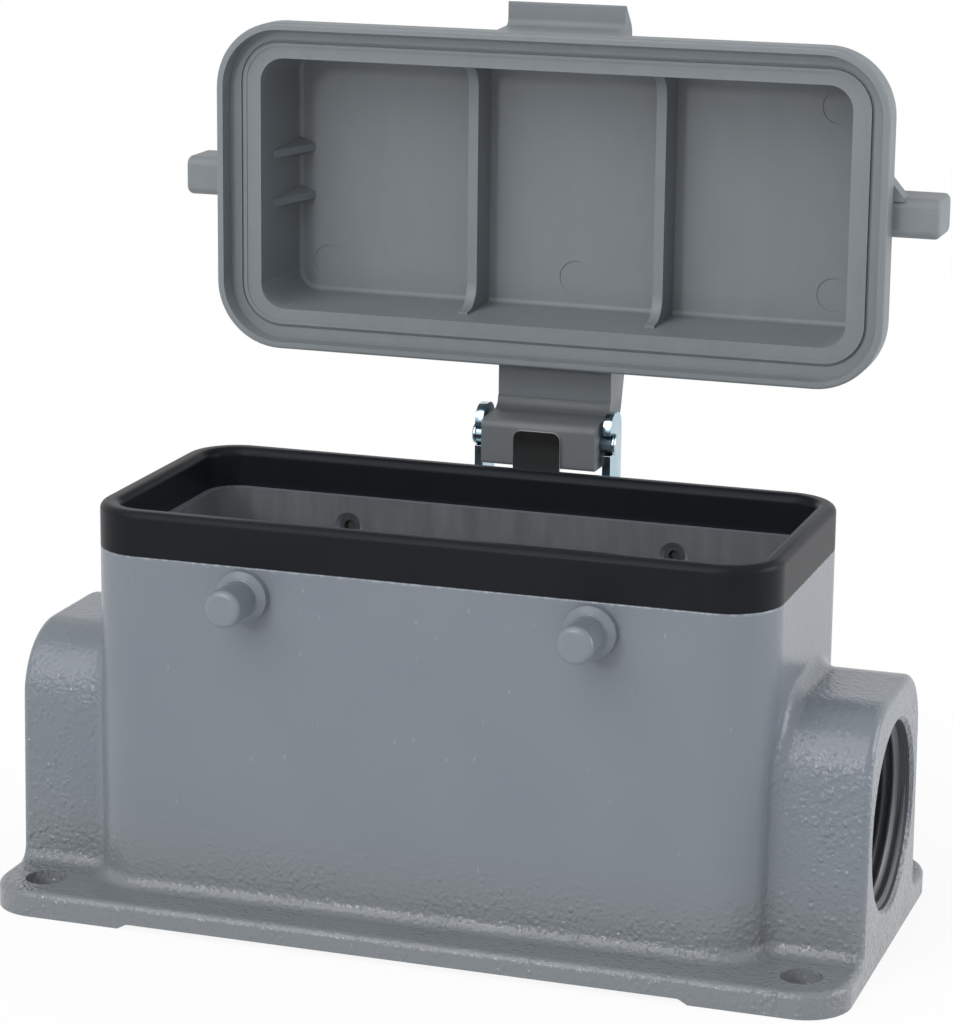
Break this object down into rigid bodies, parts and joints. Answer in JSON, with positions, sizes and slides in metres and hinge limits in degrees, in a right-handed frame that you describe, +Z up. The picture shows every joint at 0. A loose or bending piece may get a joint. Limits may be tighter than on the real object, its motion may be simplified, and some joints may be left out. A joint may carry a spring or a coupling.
{
  "type": "heavy duty rectangular connector housing",
  "caption": "Surface mounting housing of a heavy duty rectangular connector, with side cable entries, locking pegs, a rim seal and a hinged protective cover.",
  "frame": {"origin": "centre of the four foot holes, on the plane of the foot's pads", "axes": "+Z up out of the tower's mouth, +X along the long side, +Y towards the hinge"},
  "size_m": [0.118, 0.0794, 0.118],
  "materials": {
    "painted_casting": "blue grey powder coat with fine orange peel",
    "seal_rubber": "satin",
    "plated_steel": "bright zinc plating",
    "spring_steel": "blackened and oiled",
    "cover_plastic": "smooth matt moulding"
  },
  "bodies": {
    "base": {"housing": "painted_casting", "housing_seal": "seal_rubber", "locking_peg_front_left": "painted_casting", "locking_peg_front_right": "painted_casting", "locking_peg_back_left": "painted_casting", "locking_peg_back_right": "painted_casting", "hinge_bracket": "plated_steel", "hinge_pin": "plated_steel", "bracket_rivet_left": "plated_steel", "bracket_rivet_right": "plated_steel", "detent_leaf": "spring_steel"},
    "lid": {"cover": "cover_plastic"}
  },
  "joints": [
    {"name": "cover_hinge", "type": "hinge", "parent": "base", "child": "lid", "pos_m": [0, 0.03435, 0.0569], "axis": [1, 0, 0], "range_deg": [0, 90], "deforming": ["detent_leaf"]}
  ]
}
